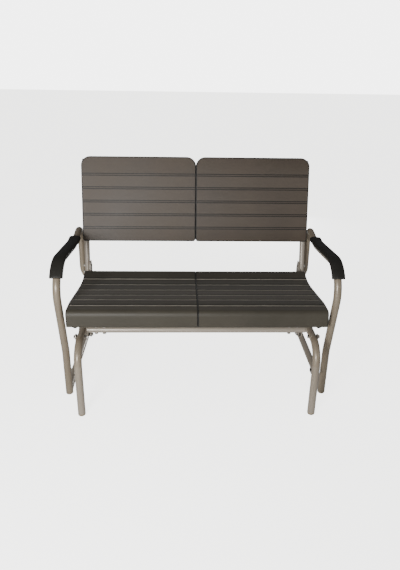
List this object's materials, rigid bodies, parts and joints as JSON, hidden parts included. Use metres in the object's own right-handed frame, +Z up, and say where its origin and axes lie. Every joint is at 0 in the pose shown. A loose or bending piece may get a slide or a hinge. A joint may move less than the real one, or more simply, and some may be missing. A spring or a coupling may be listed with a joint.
{
  "type": "glider bench",
  "caption": "Patio glider bench: a bent steel tube base with padded arms, and a moulded seat and back that swing on links.",
  "frame": {"origin": "on the floor, under the middle of the bench's width and depth", "axes": "+X to the right seen from the front, +Y from the front of the bench to its back, +Z up"},
  "size_m": [1.19, 0.7753, 0.9439],
  "materials": {
    "frame_coat": "satin champagne",
    "panel_plastic": "fine grained",
    "black_plastic": "soft black",
    "bright_zinc": "bright zinc"
  },
  "bodies": {
    "base": {"arm_pad_left": "black_plastic", "arm_pad_right": "black_plastic", "arm_pad_screws": "bright_zinc", "cross_nuts": "bright_zinc", "cross_stub_left": "frame_coat", "cross_stub_right": "frame_coat", "foot_cap_left": "black_plastic", "foot_cap_right": "black_plastic", "front_cross_bolts": "bright_zinc", "front_cross_tube": "frame_coat", "front_leg_left": "frame_coat", "front_leg_right": "frame_coat", "rear_cross_bolts": "bright_zinc", "rear_cross_tube": "frame_coat", "rear_leg_left": "frame_coat", "rear_leg_right": "frame_coat", "runner_glides": "black_plastic", "runner_joint_screws": "bright_zinc", "runner_left": "frame_coat", "runner_plugs": "black_plastic", "runner_right": "frame_coat", "side_hoop_left": "frame_coat", "side_hoop_right": "frame_coat", "upper_pivot_bolts": "bright_zinc", "upper_pivot_nuts": "bright_zinc"},
    "link_front_left": {"link_front_left": "frame_coat", "link_bushings_front_left": "black_plastic"},
    "link_front_right": {"link_front_right": "frame_coat", "link_bushings_front_right": "black_plastic"},
    "link_rear_left": {"link_rear_left": "frame_coat", "link_bushings_rear_left": "black_plastic"},
    "link_rear_right": {"link_rear_right": "frame_coat", "link_bushings_rear_right": "black_plastic"},
    "seat": {"back_panel_left": "panel_plastic", "back_panel_right": "panel_plastic", "back_rail_lower": "frame_coat", "back_rail_upper": "frame_coat", "back_screws": "bright_zinc", "back_upright_left": "frame_coat", "back_upright_right": "frame_coat", "corner_bolts": "bright_zinc", "corner_nuts": "bright_zinc", "corner_plate_left": "frame_coat", "corner_plate_right": "frame_coat", "hanger_front_left": "frame_coat", "hanger_front_right": "frame_coat", "hanger_rear_left": "frame_coat", "hanger_rear_right": "frame_coat", "lower_pivot_bolts": "bright_zinc", "lower_pivot_nuts": "bright_zinc", "lower_pivot_spacers": "black_plastic", "seat_panel_left": "panel_plastic", "seat_panel_right": "panel_plastic", "seat_rail_front": "frame_coat", "seat_rail_rear": "frame_coat", "seat_screws": "bright_zinc", "seat_side_rail_left": "frame_coat", "seat_side_rail_right": "frame_coat", "tube_plugs": "black_plastic"}
  },
  "joints": [
    {"name": "link_front_left_swing", "type": "hinge", "parent": "base", "child": "link_front_left", "pos_m": [-0.50218, -0.2688, 0.315], "axis": [1, 0, 0], "range_deg": [-14, 14]},
    {"name": "link_front_right_swing", "type": "hinge", "parent": "base", "child": "link_front_right", "pos_m": [0.50218, -0.2688, 0.315], "axis": [1, 0, 0], "range_deg": [-14, 14]},
    {"name": "link_rear_left_swing", "type": "hinge", "parent": "base", "child": "link_rear_left", "pos_m": [-0.50218, 0.0712, 0.315], "axis": [1, 0, 0], "range_deg": [-14, 14]},
    {"name": "link_rear_right_swing", "type": "hinge", "parent": "base", "child": "link_rear_right", "pos_m": [0.50218, 0.0712, 0.315], "axis": [1, 0, 0], "range_deg": [-14, 14]},
    {"name": "seat_swing", "type": "hinge", "parent": "link_front_left", "child": "seat", "pos_m": [-0.50218, -0.2688, 0.143], "axis": [1, 0, 0], "range_deg": [-14, 14]}
  ],
  "couplings": [
    {"joint": "link_front_right_swing", "follows": "link_front_left_swing", "ratio": 1},
    {"joint": "link_rear_left_swing", "follows": "link_front_left_swing", "ratio": 1},
    {"joint": "link_rear_right_swing", "follows": "link_front_left_swing", "ratio": 1},
    {"joint": "seat_swing", "follows": "link_front_left_swing", "ratio": -1}
  ]
}
